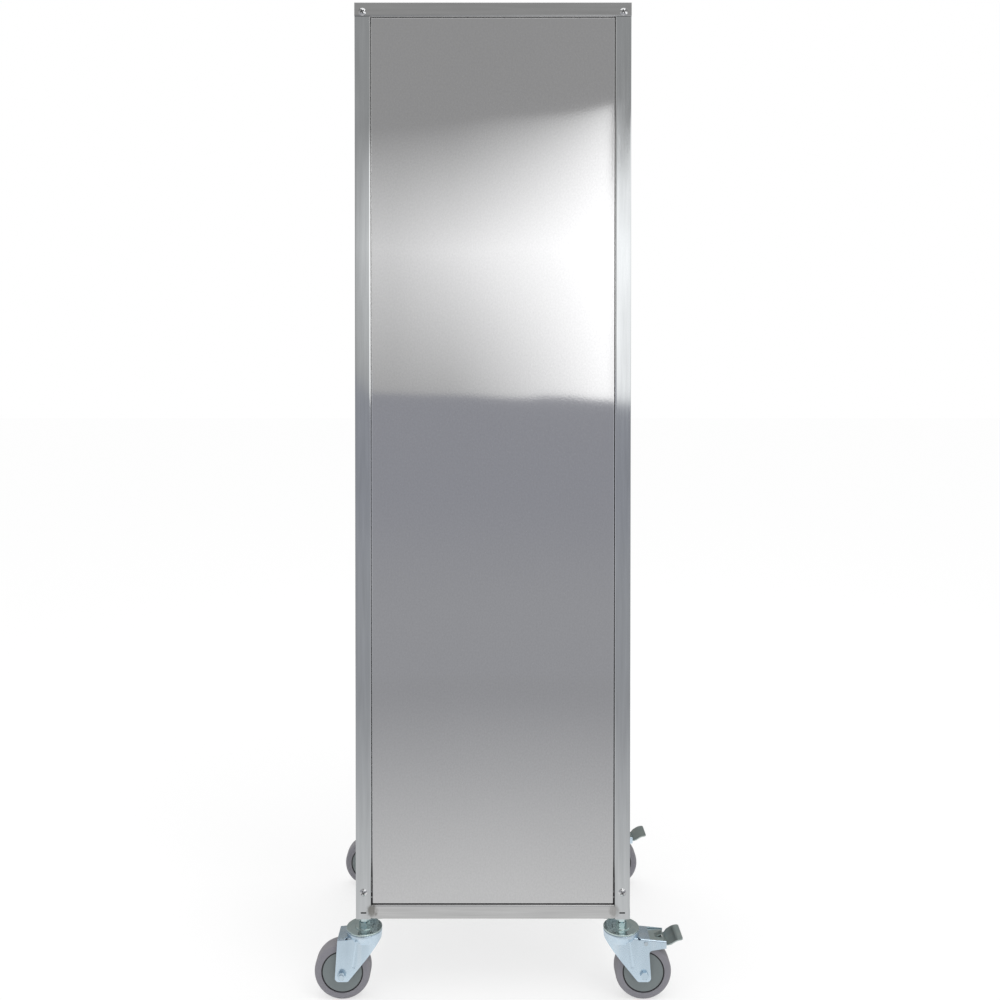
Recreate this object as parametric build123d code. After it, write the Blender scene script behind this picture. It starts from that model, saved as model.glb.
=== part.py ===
from build123d import *
import math
import os

# Tray trolley on four swivel castors, in millimetres.
# +X runs along the closed side towards the braked castors, +Y towards the far side, +Z up.
# The origin is on the floor, under the middle of the frame.

# Overall size
body_length = 490.0
body_depth = 440.0
overall_height = 1775.0

# Square tube of the frame
tube_size = 28.0
rail_height = 25.5
tube_wall = 1.2
tube_corner = 2.5
end_cap_thickness = 2.0
plug_clearance = 0.1

# Sheet panels
panel_sheet = 1.0
panel_bend = 1.5
panel_gap = 1.2
panel_foot_gap = 1.6
panel_setback = 2.0
panel_flange = 12.0
notch_clearance = 0.5
top_panel_drop = 1.0
top_panel_skirt = 18.0
top_panel_clearance = 0.2

# Tray runners
runner_pitch = 100.0
runner_web = 25.0
runner_ledge = 30.0
runner_sheet = 1.5
runner_bend = 3.0
runner_corner = 8.0
first_runner_rise = 87.5
last_runner_headroom = 85.0

# Corner screws and the inserts they pull on
screw_diameter = 6.0
screw_head_diameter = 14.0
screw_head_height = 3.4
screw_recess_span = 8.4
screw_recess_width = 1.9
screw_recess_depth = 1.7
screw_recess_turn = 25.0
screw_hole_clearance = 0.3
thread_clearance = 0.05
insert_length = 16.0
top_screw_drop = 17.5
bottom_screw_rise = 48.0

# Foot of the posts
foot_slot_length = 10.0
foot_slot_height = 2.4
foot_slot_rise = 11.5
socket_height = 30.0
socket_groove_depth = 4.0

# Castor wheel
wheel_diameter = 100.0
wheel_width = 32.0
tyre_thickness = 12.5
tread_shoulder = 6.0
tyre_key_height = 3.0
tyre_key_width = 10.0
rim_inset = 2.0
rim_thickness = 5.0
web_thickness = 9.0
hub_diameter = 24.0
hub_draft = 1.5
core_clearance = 0.05
cover_thickness = 1.6
cover_groove = 2.5
cover_clearance = 0.5
cover_edge = 0.5

# Axle
axle_diameter = 8.0
axle_hexagon = 13.0
axle_head_height = 5.3
axle_nut_height = 7.0
axle_tip = 2.0
axle_clearance = 0.1
sleeve_diameter = 12.0
sleeve_clearance = 0.06
bush_wall = 2.0
bush_length = 12.0
bush_flange_diameter = 20.0
bush_flange_thickness = 5.2

# Castor fork
trail = 38.0
fork_inner_width = 43.0
fork_sheet = 2.5
fork_bend = 3.0
crown_diameter = 64.0
crown_edge = 2.0
crown_headroom = 21.7
crown_band = 4.0
crown_depth = 18.7
nose_inset = 1.0
wheel_headroom = 11.0
bridge_slope = 0.1
leg_back_top = 7.5
leg_back = 12.5
leg_front = 11.0
leg_below_axle = 13.0
leg_corner = 7.0
nose_depth = 13.7
relief_diameter = 6.0
relief_setback = 2.5
crease_x = 13.5
crease_rise = 35.0
crease_length = 50.0
crease_lean = 8.0
crease_radius = 6.0
crease_depth = 0.8
wheel_well = 3.0

# Swivel head
swivel_gap = 0.3
kingpin_clearance = 0.08
raceway_thickness = 3.0
raceway_edge = 1.0
raceway_boss_diameter = 33.0
raceway_boss_height = 1.5
stem_diameter = 10.0
stem_hexagon = 17.0
stem_hexagon_height = 8.0
stem_engagement = 25.0
kingpin_head_diameter = 26.0
kingpin_head_thickness = 3.0
stem_gap = 19.0
lock_nut_height = 8.0
hexagon_chamfer = 1.0

# Brake of the castors at the loading end
brake_angle = 9.0
brake_contact_gap = 0.3
brake_pin_diameter = 5.0
brake_pin_head_diameter = 8.0
brake_pin_head_height = 1.2
brake_pin_offset = 3.0
brake_pin_rise = 5.5
brake_pin_clearance = 0.08
knuckle_wall = 1.6
arm_reach = 39.5
arm_end_height = 12.5
arm_root_drop = 20.5
arm_fillet = 6.0
bridge_slot_start = 10.6
bridge_slot_clearance = 1.0
pedal_sheet = 2.0
pedal_width = 41.0
pedal_plate_rise = 2.0
pedal_plate_reach = 38.0
tongue_width = 50.0
tongue_reach = 30.9
tongue_rise = 6.4
tongue_root_drop = 8.0
tongue_crest_reach = 20.0
tongue_crest_rise = 4.8
tongue_root_bend = 2.5
tongue_bend = 25.0
tongue_corner = 5.0
shoulder_start = 4.0
shoulder_length = 5.0
tab_start = 19.0
tab_length = 13.0
tab_width = 10.0
tab_tilt = 24.0
tab_slit = 0.8
shoe_start = 21.0
shoe_length = 11.0
shoe_width = 22.0
shoe_height = 16.0

# Places that follow from the sizes
wheel_radius = wheel_diameter / 2
rim_radius = wheel_radius - tyre_thickness - core_clearance
hub_half_length = wheel_width / 2
bush_radius = sleeve_diameter / 2 + sleeve_clearance + bush_wall
fork_half_width = fork_inner_width / 2 + fork_sheet
crown_radius = crown_diameter / 2
nose_x = nose_inset - crown_radius
crown_top = wheel_diameter + crown_headroom
raceway_bottom = crown_top + swivel_gap
raceway_top = raceway_bottom + raceway_thickness
post_bottom = raceway_top + stem_gap
post_top = overall_height - rail_height
post_x = (body_length - tube_size) / 2
post_y = (body_depth - tube_size) / 2
frame_inside_x = body_length / 2 - tube_size
frame_inside_y = body_depth / 2 - tube_size
bottom_rail_top = post_bottom + rail_height
top_screw_z = overall_height - top_screw_drop
bottom_screw_z = post_bottom + bottom_screw_rise
top_cross_rail_z = overall_height - tube_size / 2
bottom_cross_rail_z = bottom_screw_z
pivot_x = trail + brake_pin_offset
pivot_z = wheel_diameter + brake_pin_rise
pedal_z = pivot_z + pedal_plate_rise
first_runner_z = bottom_rail_top + first_runner_rise
runner_levels = int((post_top - last_runner_headroom - first_runner_z) // runner_pitch) + 1

ends = {"left": -1, "right": 1}
sides = {"front": -1, "rear": 1}
along_x = Rot(0, 90, 0)
along_y = Rot(-90, 0, 0)


def save(name, shape):
    export_step(shape, f"parts/{name}.step")


def corners():
    """Name, X sign and Y sign of each corner of the frame."""
    return [(f"{side}_{end}", ends[end], sides[side]) for side in sides for end in ends]


def at_corners(shape):
    """One copy of a shape on the axis of every castor."""
    return Compound([Pos(sx * post_x, sy * post_y, 0) * shape for _, sx, sy in corners()])


def block(x, y, z):
    """Box between pairs of lowest and highest coordinates."""
    centre = [(low + high) / 2 for low, high in (x, y, z)]
    return Pos(*centre) * Box(x[1] - x[0], y[1] - y[0], z[1] - z[0])


def rod(diameter, bottom, top):
    """Round bar along Z."""
    return Pos(0, 0, (bottom + top) / 2) * Cylinder(diameter / 2, top - bottom)


def hexagon(across_flats, bottom, top, bore=0.0):
    """Hexagon along Z with its corners turned down at both ends."""
    prism = extrude(RegularPolygon(across_flats / 2, 6, major_radius=False), top - bottom)
    turned = rod(across_flats / math.cos(math.pi / 6), 0, top - bottom)
    turned = chamfer(turned.edges().filter_by(GeomType.CIRCLE), hexagon_chamfer)
    nut = prism & turned
    if bore:
        nut -= rod(bore, -1, top - bottom + 1)
    return Pos(0, 0, bottom) * nut


# Frame

def tube(length, height=tube_size):
    """Tube along Z from the origin, square unless its height, along X, is given."""
    outside = RectangleRounded(height, tube_size, tube_corner)
    bore = (height - 2 * tube_wall, tube_size - 2 * tube_wall)
    return extrude(outside - RectangleRounded(*bore, tube_corner - tube_wall), length)


def tube_plug(length, height=tube_size):
    """Solid along Z that slides into the bore of such a tube."""
    inset = 2 * (tube_wall + plug_clearance)
    section = RectangleRounded(height - inset, tube_size - inset, tube_corner - tube_wall)
    return extrude(section, length)


def screw_holes(z):
    """Round cuts along Y on the axes of the posts, for the screws at height z."""
    diameter = screw_diameter + 2 * screw_hole_clearance
    hole = along_y * rod(diameter, -body_depth, body_depth)
    return [Pos(sx * post_x, 0, z) * hole for sx in ends.values()]


def post(sx, sy):
    shape = Pos(sx * post_x, sy * post_y, post_bottom) * tube(post_top - post_bottom)
    shape -= screw_holes(bottom_screw_z)
    slot = Box(foot_slot_length, 2 * tube_corner, foot_slot_height)
    return shape - Pos(sx * post_x, sy * body_depth / 2, post_bottom + foot_slot_rise) * slot


def top_rail(sy):
    centre_z = overall_height - rail_height / 2
    shape = Pos(-body_length / 2, sy * post_y, centre_z) * along_x * tube(body_length, rail_height)
    return shape - screw_holes(top_screw_z)


def bottom_rail(sy):
    length = 2 * frame_inside_x
    place = Pos(-length / 2, sy * post_y, post_bottom + rail_height / 2)
    return place * along_x * tube(length, rail_height)


def cross_rail(sx, z):
    length = 2 * frame_inside_y
    return Pos(sx * post_x, -length / 2, z) * along_y * tube(length)




def rail_end_caps():
    cap = Pos(0, 0, -end_cap_thickness) * tube_plug(end_cap_thickness, rail_height)
    caps = []
    for sy in sides.values():
        for sx in ends.values():
            place = Pos(sx * body_length / 2, sy * post_y, overall_height - rail_height / 2)
            caps.append(place * Rot(0, sx * 90, 0) * cap)
    return Compound(caps)


def cross_rail_inserts():
    """Plugs in the ends of the cross rails, each with the thread of one corner screw."""
    thread = screw_diameter + 2 * thread_clearance
    inserts = []
    for rail_z, screw_z in ((top_cross_rail_z, top_screw_z), (bottom_cross_rail_z, bottom_screw_z)):
        plug = tube_plug(insert_length) - Pos(0, rail_z - screw_z, 0) * rod(thread, -1, insert_length + 1)
        for sx in ends.values():
            for sy in sides.values():
                place = Pos(sx * post_x, sy * frame_inside_y, rail_z)
                turn = Rot(-90, 0, 0) if sy < 0 else Rot(0, 0, 180) * Rot(-90, 0, 0)
                inserts.append(place * turn * plug)
    return Compound(inserts)


def frame_screw():
    """Domed screw with a cross recess: its head stands on Z = 0 and its shank points down."""
    radius = screw_head_diameter / 2
    sphere = (radius ** 2 + screw_head_height ** 2) / (2 * screw_head_height)
    dome = Pos(0, 0, screw_head_height - sphere) * Sphere(sphere) & rod(screw_head_diameter, 0, sphere)
    for width, depth in ((screw_recess_span, screw_recess_width), (screw_recess_width, screw_recess_span)):
        bar = Rot(0, 0, screw_recess_turn) * Box(width, depth, 2 * screw_recess_depth)
        dome -= Pos(0, 0, screw_head_height) * bar
    return dome + rod(screw_diameter, -(tube_size + insert_length), 0)


def frame_screws():
    screw = frame_screw()
    screws = []
    for z in (top_screw_z, bottom_screw_z):
        for _, sx, sy in corners():
            screws.append(Pos(sx * post_x, sy * body_depth / 2, z) * Rot(-90 * sy, 0, 0) * screw)
    return Compound(screws)


# Panels

def side_panel(sy):
    """Sheet pan with its face between the tubes and its two flanges on the posts' inner faces."""
    face_y = body_depth / 2 - panel_setback
    flange_y = frame_inside_y - panel_sheet
    half_width = frame_inside_x - panel_gap
    z = (bottom_rail_top + panel_foot_gap, post_top - panel_gap)
    pan = block((-half_width, half_width), (flange_y, face_y), z)
    pan = fillet(pan.faces().sort_by(Axis.Y)[-1].edges(), panel_bend)
    half_hollow = half_width - panel_sheet
    hollow_z = (z[0] + panel_sheet, z[1] - panel_sheet)
    hollow = block((-half_hollow, half_hollow), (flange_y - 1, face_y - panel_sheet), hollow_z)
    hollow = fillet(hollow.faces().sort_by(Axis.Y)[-1].edges(), panel_bend - panel_sheet)
    reach = frame_inside_x + panel_flange
    flange_top = top_cross_rail_z - tube_size / 2 - panel_gap
    pan += block((-reach, reach), (flange_y, frame_inside_y), (z[0], flange_top))
    pan -= hollow
    half_notch = tube_size / 2 + notch_clearance
    notch = Box(2 * half_notch, 4 * panel_sheet, 2 * half_notch)
    for sx in ends.values():
        pan -= Pos(sx * post_x, frame_inside_y, bottom_cross_rail_z) * notch
    return pan if sy > 0 else Rot(0, 0, 180) * pan


def top_panel():
    """Shallow pan, face up, that drops in between the top rails."""
    half_x = frame_inside_x - top_panel_clearance
    half_y = frame_inside_y - top_panel_clearance
    z = (overall_height - top_panel_drop - top_panel_skirt, overall_height - top_panel_drop)
    pan = block((-half_x, half_x), (-half_y, half_y), z)
    pan = fillet(pan.faces().sort_by(Axis.Z)[-1].edges(), panel_bend)
    hollow_x = half_x - panel_sheet
    hollow_y = half_y - panel_sheet
    hollow = block((-hollow_x, hollow_x), (-hollow_y, hollow_y), (z[0] - 1, z[1] - panel_sheet))
    return pan - fillet(hollow.faces().sort_by(Axis.Z)[-1].edges(), panel_bend - panel_sheet)


def tray_runner():
    """L-shaped runner along X on the far side: its web stands on the panel's flange."""
    back_y = frame_inside_y - panel_sheet
    outline = Polyline((0, 0), (0, runner_web), (-runner_sheet, runner_web), (-runner_sheet, runner_sheet),
                       (-runner_ledge, runner_sheet), (-runner_ledge, 0), close=True)
    section = make_face(outline)
    heel = section.vertices().sort_by_distance((0, 0, 0))[0]
    section = fillet(heel, runner_bend)
    inner = section.vertices().sort_by_distance((-runner_sheet, runner_sheet, 0))[0]
    section = fillet(inner, runner_bend - runner_sheet)
    runner = extrude(Plane.YZ * section, body_length / 2, both=True)
    free_corners = runner.edges().filter_by(Axis.Z).group_by(Axis.Y)[0]
    runner = fillet(free_corners, runner_corner)
    return Pos(0, back_y, 0) * runner


def tray_runners(sy):
    runner = tray_runner() if sy > 0 else Rot(0, 0, 180) * tray_runner()
    heights = [first_runner_z + level * runner_pitch for level in range(runner_levels)]
    return Compound([Pos(0, 0, z) * runner for z in heights])


# Swivel heads, which stay with the frame

def castor_socket():
    """Threaded plug in the foot of a post, grooved behind the post's slot."""
    plug = Pos(0, 0, post_bottom) * tube_plug(socket_height)
    thread = stem_diameter + 2 * thread_clearance
    plug -= rod(thread, post_bottom - 1, post_bottom + socket_height + 1)
    outer = Box(tube_size, tube_size, foot_slot_height)
    core = tube_size - 2 * (tube_wall + socket_groove_depth)
    groove = outer - Box(core, core, foot_slot_height)
    return plug - Pos(0, 0, post_bottom + foot_slot_rise) * groove


def upper_raceway():
    disc = rod(crown_diameter, raceway_bottom, raceway_top)
    disc = fillet(disc.edges().filter_by(GeomType.CIRCLE), raceway_edge)
    boss = rod(raceway_boss_diameter, raceway_top - raceway_edge, raceway_top + raceway_boss_height)
    boss = fillet(boss.edges().filter_by(GeomType.CIRCLE).sort_by(Axis.Z)[-1], raceway_edge)
    bore = stem_diameter + 2 * thread_clearance
    return disc + boss - rod(bore, raceway_bottom - 1, raceway_top + 2 * raceway_boss_height)


def castor_stem():
    """Kingpin, hexagon and threaded stem in one piece."""
    hexagon_bottom = raceway_top + raceway_boss_height
    head_top = crown_top - fork_sheet - swivel_gap
    head_bottom = head_top - kingpin_head_thickness
    stem = rod(stem_diameter, head_bottom, post_bottom + stem_engagement)
    stem += rod(kingpin_head_diameter, head_bottom, head_top)
    return stem + hexagon(stem_hexagon, hexagon_bottom, hexagon_bottom + stem_hexagon_height)


def stem_lock_nut():
    bore = stem_diameter + 2 * thread_clearance
    return hexagon(stem_hexagon, post_bottom - lock_nut_height, post_bottom, bore)


# Castor: the swivel axis is Z, the floor is Z = 0 and the wheel trails along +X

def bridge_height(x):
    """Top of the fork's sloping bridge."""
    return wheel_diameter + wheel_headroom + fork_sheet - bridge_slope * (x - trail)


def leg_outline(braked):
    """Side view of the fork's cheeks, with the arms of the brake where there are any."""
    foot_z = wheel_radius - leg_below_axle
    back_x = trail + leg_back_top
    back_z = bridge_height(back_x)
    heel = (trail + leg_back, foot_z)
    points = [(nose_x, bridge_height(nose_x))]
    if braked:
        arm_x = trail + arm_reach
        arm_top = bridge_height(arm_x)
        root_x = back_x + (leg_back - leg_back_top) * arm_root_drop / (back_z - foot_z)
        root = (root_x, back_z - arm_root_drop)
        points += [(arm_x, arm_top), (arm_x, arm_top - arm_end_height), root]
    else:
        points.append((back_x, back_z))
    points += [heel, (trail - leg_front, foot_z), (nose_x, crown_top - nose_depth)]
    outline = make_face(Polyline(*points, close=True))
    feet = outline.vertices().group_by(Axis.Y)[0]
    outline = fillet(feet, leg_corner)
    if braked:
        inner = outline.vertices().sort_by_distance((root[0], root[1], 0))[0]
        outline = fillet(inner, arm_fillet)
    return outline


def slant_outline():
    """Side view of all that lies above the slanted front edge of the cheeks."""
    foot = (trail - leg_front, wheel_radius - leg_below_axle)
    nose = (nose_x, crown_top - nose_depth)
    low_x = -2 * crown_radius
    low_z = nose[1] + (nose_x - low_x) * (nose[1] - foot[1]) / (foot[0] - nose_x)
    top = max(low_z, crown_top) + crown_radius
    high_x = trail + 2 * arm_reach
    points = [foot, (low_x, low_z), (low_x, top), (high_x, top), (high_x, foot[1])]
    return make_face(Polyline(*points, close=True))


def hollow_outline():
    """Side view of the space under the bridge, open downwards and at the back."""
    low_x = -2 * crown_radius
    high_x = trail + 2 * arm_reach
    under = [(x, bridge_height(x) - fork_sheet) for x in (low_x, high_x)]
    return make_face(Polyline(*under, (high_x, 0), (low_x, 0), close=True))


def nosed_plan(inset):
    """Plan of the fork: an oval nose and straight cheeks."""
    length = trail + 2 * arm_reach
    half_width = fork_half_width - inset
    nose = Ellipse(crown_radius - nose_inset - inset, half_width)
    return nose + Pos(length / 2, 0) * Rectangle(length, 2 * half_width)


def crown(inset, bottom, band_bottom, top):
    """Round crown that narrows into the oval nose of the cheeks."""
    oval = Ellipse(crown_radius - nose_inset - inset, fork_half_width - inset)
    ring = Circle(crown_radius - inset)
    cone = loft([Pos(0, 0, bottom) * oval, Pos(0, 0, band_bottom) * ring])
    return cone + Pos(0, 0, band_bottom) * extrude(ring, top - band_bottom)


def across(diameter, x, z, half_length):
    """Round bar along Y."""
    return Pos(x, 0, z) * along_y * rod(diameter, -half_length, half_length)


def fork(braked):
    cheeks = extrude(Plane.XZ * leg_outline(braked), fork_half_width, both=True)
    bridge = cheeks.faces().sort_by(Axis.Z)[-1]
    folds = [e for e in bridge.edges() if abs(e.center().Y) > fork_inner_width / 2]
    cheeks = fillet(folds, fork_bend)
    cheeks &= extrude(nosed_plan(0), crown_top)
    hollow = extrude(Plane.XZ * hollow_outline(), fork_inner_width / 2, both=True)
    hollow &= extrude(nosed_plan(fork_sheet), crown_top)
    band_bottom = crown_top - crown_band
    bottom = crown_top - crown_depth
    dome = crown(0, bottom, band_bottom, crown_top)
    dome = fillet(dome.edges().filter_by(GeomType.CIRCLE).sort_by(Axis.Z)[-1], crown_edge)
    dome &= extrude(Plane.XZ * slant_outline(), crown_diameter, both=True)
    dome_hollow = crown(fork_sheet, bottom, band_bottom, crown_top - fork_sheet)
    shape = cheeks + dome - hollow - dome_hollow
    shape -= across(wheel_diameter + 2 * wheel_well, trail, wheel_radius, fork_inner_width / 2)
    shape -= rod(stem_diameter + 2 * kingpin_clearance, bottom, crown_top + 1)
    shape -= across(axle_diameter + 2 * axle_clearance, trail, wheel_radius, body_depth)
    relief = rod(relief_diameter, bridge_height(crown_radius) - fork_bend, crown_top - crown_edge)
    crease = rod(2 * crease_radius, -crease_length / 2, crease_length / 2)
    crease = fillet(crease.edges().filter_by(GeomType.CIRCLE), crease_radius / 2)
    crease_y = fork_half_width + crease_radius - crease_depth
    for sy in sides.values():
        shape -= Pos(crown_radius - relief_setback, sy * fork_inner_width / 2, 0) * relief
        shape -= Pos(crease_x, sy * crease_y, wheel_radius + crease_rise) * Rot(0, -crease_lean, 0) * crease
    if braked:
        shape -= across(brake_pin_diameter, pivot_x, pivot_z, body_depth)
        slot_x = (trail + bridge_slot_start, trail + 2 * arm_reach)
        half_slot = pedal_width / 2 + bridge_slot_clearance
        slot_y = (-half_slot, half_slot)
        shape -= block(slot_x, slot_y, (pivot_z, crown_top))
    return shape


def on_axle(shape):
    """Turn a piece made along Z onto the axle."""
    return Pos(trail, 0, wheel_radius) * along_y * shape


def axle_bolt_and_nut():
    tip = fork_half_width + axle_nut_height + axle_tip
    bolt = rod(axle_diameter, -fork_half_width, tip)
    bolt += hexagon(axle_hexagon, -fork_half_width - axle_head_height, -fork_half_width)
    bore = axle_diameter + 2 * thread_clearance
    nut = hexagon(axle_hexagon, fork_half_width, fork_half_width + axle_nut_height, bore)
    return Compound([on_axle(bolt), on_axle(nut)])


def axle_sleeve():
    half = fork_inner_width / 2
    bore = axle_diameter + 2 * axle_clearance
    return on_axle(rod(sleeve_diameter, -half, half) - rod(bore, -half - 1, half + 1))


def turned(points):
    """Ring turned about Z from its section, given as pairs of radius and height."""
    return revolve(Plane.XZ * make_face(Polyline(*points, close=True)), Axis.Z)


def wheel_core():
    """Moulded wheel centre: hub, dished web, rim and the key that holds the tyre."""
    hub_radius = hub_diameter / 2
    web = web_thickness / 2
    rim_half = wheel_width / 2 - rim_inset
    key_half = tyre_key_width / 2 - core_clearance
    key_radius = rim_radius + tyre_key_height
    rim_inside = rim_radius - rim_thickness
    upper = [(bush_radius + core_clearance, hub_half_length), (hub_radius, hub_half_length),
             (hub_radius + hub_draft, web), (rim_inside - hub_draft, web), (rim_inside, rim_half),
             (rim_radius, rim_half), (rim_radius, key_half), (key_radius, key_half)]
    lower = [(radius, -height) for radius, height in reversed(upper)]
    return on_axle(turned(upper + lower))


def hub_covers():
    """Flat discs on both faces of the rim, with a groove left open inside the tyre."""
    bottom = wheel_width / 2 - rim_inset
    radius = wheel_radius - tyre_thickness - cover_groove
    disc = rod(2 * radius, bottom, bottom + cover_thickness)
    disc = fillet(disc.edges().filter_by(GeomType.CIRCLE).sort_by(Axis.Z)[-1], cover_edge)
    disc -= rod(hub_diameter + 2 * cover_clearance, bottom - 1, bottom + 2 * cover_thickness)
    return Compound([on_axle(disc), on_axle(Rot(180, 0, 0) * disc)])


def tyre():
    half = wheel_width / 2
    inside = wheel_radius - tyre_thickness
    ring = turned([(inside, -half), (wheel_radius, -half), (wheel_radius, half), (inside, half)])
    shoulders = [e for e in ring.edges().filter_by(GeomType.CIRCLE) if e.radius > wheel_radius - 0.01]
    ring = fillet(shoulders, tread_shoulder)
    key = rod(2 * (inside + tyre_key_height), -tyre_key_width / 2, tyre_key_width / 2)
    return on_axle(ring - key)


def wheel_bushes():
    bore = sleeve_diameter / 2 + sleeve_clearance
    flange = hub_half_length + bush_flange_thickness
    flange_radius = bush_flange_diameter / 2
    inner_end = hub_half_length - bush_length
    bush = turned([(bore, inner_end), (bush_radius, inner_end), (bush_radius, hub_half_length),
                   (flange_radius, hub_half_length), (flange_radius, flange), (bore, flange)])
    return Compound([on_axle(bush), on_axle(Rot(180, 0, 0) * bush)])


# Brake

def brake_pin():
    half = fork_half_width + brake_pin_head_height
    pin = across(brake_pin_diameter - 2 * thread_clearance, pivot_x, pivot_z, half)
    head = rod(brake_pin_head_diameter, fork_half_width, half)
    head = fillet(head.edges().filter_by(GeomType.CIRCLE).sort_by(Axis.Z)[-1], brake_pin_head_height / 2)
    for turn in (along_y, Rot(90, 0, 0)):
        pin += Pos(pivot_x, 0, pivot_z) * turn * head
    return pin


def brake_pedal():
    """Pressed pedal: a knuckle on the pin, a plate between the arms and a wide rising tongue."""
    plate_end = pivot_x + pedal_plate_reach - brake_pin_offset
    root = (plate_end, pedal_z - tongue_root_drop)
    crest = (plate_end + tongue_crest_reach, pedal_z + tongue_crest_rise)
    tip = (plate_end + tongue_reach, pedal_z + tongue_rise)
    bends = [tongue_root_bend, tongue_root_bend, tongue_bend]
    path = FilletPolyline((pivot_x, pedal_z), (plate_end, pedal_z), root, crest, tip, radius=bends)
    section = trace(path, pedal_sheet)
    pedal = extrude(Plane.XZ * section, tongue_width / 2, both=True)
    neck_end = plate_end + shoulder_start
    for sy in sides.values():
        edge = sy * pedal_width / 2
        corner = (neck_end + shoulder_length, sy * tongue_width / 2)
        outside = Polyline((0, edge), (neck_end, edge), corner, (0, corner[1]), close=True)
        pedal -= extrude(make_face(outside), 2 * crown_top)
    end_face = pedal.faces().sort_by(Axis.X)[-1]
    pedal = fillet(end_face.edges().sort_by(SortBy.LENGTH)[:2], tongue_corner)
    bore = brake_pin_diameter / 2 + brake_pin_clearance
    pedal += across(2 * (bore + knuckle_wall), pivot_x, pivot_z, pedal_width / 2)
    tab_x = pivot_x + tab_start
    window = Box(tab_length + tab_slit, tab_width + 2 * tab_slit, 4 * pedal_sheet)
    pedal -= Pos(tab_x + (tab_length + tab_slit) / 2, 0, pedal_z) * window
    tab = Pos(tab_length / 2, 0, 0) * Box(tab_length, tab_width, pedal_sheet)
    pedal += Pos(tab_x, 0, pedal_z) * Rot(0, -tab_tilt, 0) * tab
    return pedal - across(2 * bore, pivot_x, pivot_z, pedal_width)


def brake_shoe():
    """Block under the pedal, hollowed to meet the tread when the pedal is down."""
    top = pedal_z - pedal_sheet / 2
    start = pivot_x + shoe_start
    shoe = block((start, start + shoe_length), (-shoe_width / 2, shoe_width / 2), (top - shoe_height, top))
    wheel = across(wheel_diameter + 2 * brake_contact_gap, trail, wheel_radius, wheel_width)
    pivot = Pos(pivot_x, 0, pivot_z)
    return shoe - pivot * Rot(0, -brake_angle, 0) * Pos(-pivot_x, 0, -pivot_z) * wheel


os.makedirs("parts", exist_ok=True)

for corner, sx, sy in corners():
    save(f"post_{corner}", post(sx, sy))

for side, sy in sides.items():
    save(f"top_rail_{side}", top_rail(sy))
    save(f"bottom_rail_{side}", bottom_rail(sy))
    save(f"side_panel_{side}", side_panel(sy))
    save(f"tray_runners_{side}", tray_runners(sy))

for end, sx in ends.items():
    save(f"top_cross_rail_{end}", cross_rail(sx, top_cross_rail_z))
    save(f"bottom_cross_rail_{end}", cross_rail(sx, bottom_cross_rail_z))

save("top_panel", top_panel())
save("rail_end_caps", rail_end_caps())
save("cross_rail_inserts", cross_rail_inserts())
save("frame_screws", frame_screws())
save("castor_sockets", at_corners(castor_socket()))
save("castor_stems", at_corners(castor_stem()))
save("stem_lock_nuts", at_corners(stem_lock_nut()))
save("upper_raceways", at_corners(upper_raceway()))

wheel_parts = {
    "axle_bolt_and_nut": axle_bolt_and_nut(),
    "axle_sleeve": axle_sleeve(),
    "wheel_core": wheel_core(),
    "hub_covers": hub_covers(),
    "tyre": tyre(),
    "wheel_bushes": wheel_bushes(),
}
brake_parts = {"brake_pedal": brake_pedal(), "brake_pin": brake_pin(), "brake_shoe": brake_shoe()}
forks = {"left": fork(False), "right": fork(True)}

for corner, sx, sy in corners():
    place = Pos(sx * post_x, sy * post_y, 0) * Rot(0, 0, 0 if sx > 0 else 180)
    save(f"fork_{corner}", place * forks["right" if sx > 0 else "left"])
    for name, shape in wheel_parts.items():
        save(f"{name}_{corner}", place * shape)
    if sx > 0:
        for name, shape in brake_parts.items():
            save(f"{name}_{corner}", place * shape)
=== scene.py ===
"""Finishes, shop details and studio stage of a tray trolley, built around its CAD frame.

Lengths are in metres. X runs along the body, Y from the front panel to the rear one, Z upwards.
"""

import math

import bpy
from bpy.props import FloatProperty, FloatVectorProperty, IntProperty, PointerProperty
from mathutils import Matrix, Vector


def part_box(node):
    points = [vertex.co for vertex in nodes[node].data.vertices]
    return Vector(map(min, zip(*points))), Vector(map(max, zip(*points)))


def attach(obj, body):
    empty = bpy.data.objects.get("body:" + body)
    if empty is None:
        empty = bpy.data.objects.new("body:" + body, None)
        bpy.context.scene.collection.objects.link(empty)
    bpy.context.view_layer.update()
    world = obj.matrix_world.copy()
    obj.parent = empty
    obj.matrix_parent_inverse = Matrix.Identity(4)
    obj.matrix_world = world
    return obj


bl_info = {
    "name": "Tray trolley finishes",
    "version": (1, 0, 0),
    "blender": (4, 5, 0),
    "location": "3D View > Sidebar > Trolley",
    "description": "Finishes, shop details and studio stage of a tray trolley",
    "category": "Object",
}

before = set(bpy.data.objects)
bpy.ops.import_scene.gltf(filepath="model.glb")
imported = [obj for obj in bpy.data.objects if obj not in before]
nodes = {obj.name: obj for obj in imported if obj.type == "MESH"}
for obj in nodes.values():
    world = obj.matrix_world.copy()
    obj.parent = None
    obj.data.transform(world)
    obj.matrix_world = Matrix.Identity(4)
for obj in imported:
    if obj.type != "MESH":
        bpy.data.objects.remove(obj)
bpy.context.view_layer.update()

# Places read from the frame
post_low, post_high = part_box("post_front_right")
rail_low, rail_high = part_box("bottom_rail_front")
runner_low, runner_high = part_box("tray_runners_front")
tyre_low, tyre_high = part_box("tyre_front_right")
screw_low, screw_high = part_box("frame_screws")
inside_x = post_low.x
outside_y = -post_low.y
inside_y = -post_high.y
foot_z = post_low.z
seam_z = post_high.z
rail_z = (rail_low.z + rail_high.z) / 2
axle_x = (tyre_low.x + tyre_high.x) / 2
axle_z = (tyre_low.z + tyre_high.z) / 2
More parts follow.
